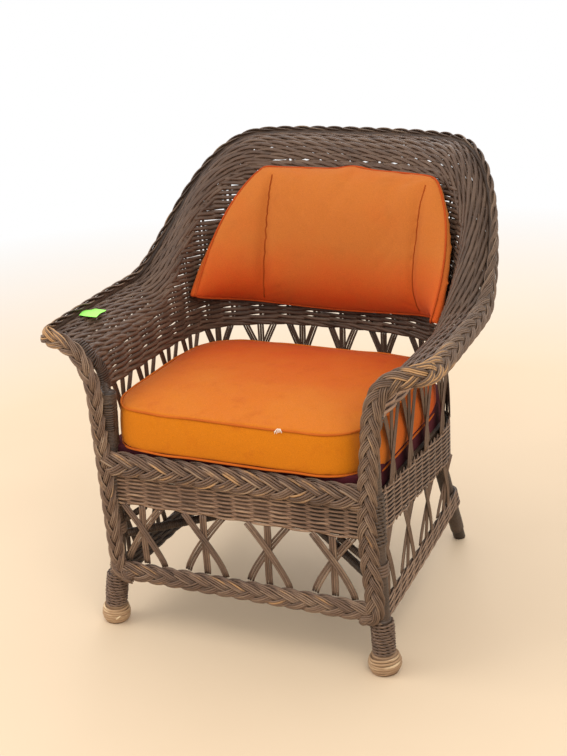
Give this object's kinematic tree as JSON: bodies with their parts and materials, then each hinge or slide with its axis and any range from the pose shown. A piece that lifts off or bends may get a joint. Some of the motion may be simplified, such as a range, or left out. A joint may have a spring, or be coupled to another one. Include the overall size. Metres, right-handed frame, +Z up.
{
  "type": "wicker armchair",
  "caption": "Barrel-back woven reed armchair with rolled arms, crossing-stave lattices, plaited borders, ball front feet and loose orange seat and back cushions.",
  "frame": {"origin": "on the floor under the middle of the chair's bounding box", "axes": "+Z up, -Y to the front where the sitter's legs hang, +X to the right as seen from the front"},
  "size_m": [0.8278, 0.765, 0.8773],
  "materials": {
    "reed": "dark brown woven reed, worn paler on the crowns of the weave",
    "plait": "dark brown plaited reed, scuffed to tan at the arm tips",
    "stave": "dark brown flat reed staves",
    "wrapped_pole": "poles wrapped in dark brown cane",
    "bare_reed": "reed worn bare to a natural tan",
    "bent_rod": "plain bent rod",
    "deck_cloth": "dark maroon canvas",
    "cover": "orange woven upholstery cloth, faded in patches"
  },
  "bodies": {
    "root": {"arm_and_back_weave": "reed", "arm_front_plait_left": "plait", "arm_front_plait_right": "plait", "back_cushion": "cover", "ball_foot_left": "bare_reed", "ball_foot_right": "bare_reed", "bottom_band_left": "reed", "bottom_band_right": "reed", "bottom_plait": "plait", "corner_brace_left": "wrapped_pole", "corner_brace_right": "wrapped_pole", "cross_bar_lower": "wrapped_pole", "cross_bar_upper": "wrapped_pole", "front_post_left": "wrapped_pole", "front_post_right": "wrapped_pole", "front_rail": "bent_rod", "front_staves_1": "stave", "front_staves_2": "stave", "front_staves_3": "stave", "front_staves_4": "stave", "leg_wrap_left": "wrapped_pole", "leg_wrap_right": "wrapped_pole", "post_plait_left": "plait", "post_plait_right": "plait", "rear_leg_left": "wrapped_pole", "rear_leg_right": "wrapped_pole", "rim_plait": "plait", "seat_cushion": "cover", "seat_deck": "deck_cloth", "seat_hoop": "bent_rod", "seat_plait": "plait", "side_staves_left_1": "stave", "side_staves_left_2": "stave", "side_staves_left_3": "stave", "side_staves_left_4": "stave", "side_staves_right_1": "stave", "side_staves_right_2": "stave", "side_staves_right_3": "stave", "side_staves_right_4": "stave", "skirt_front": "reed", "skirt_round": "reed", "upper_staves_01": "stave", "upper_staves_02": "stave", "upper_staves_03": "stave", "upper_staves_04": "stave", "upper_staves_05": "stave", "upper_staves_06": "stave", "upper_staves_07": "stave", "upper_staves_08": "stave", "upper_staves_09": "stave", "upper_staves_10": "stave", "upper_staves_11": "stave", "upper_staves_12": "stave", "upper_staves_13": "stave", "upper_staves_14": "stave", "upper_staves_15": "stave"}
  },
  "joints": []
}
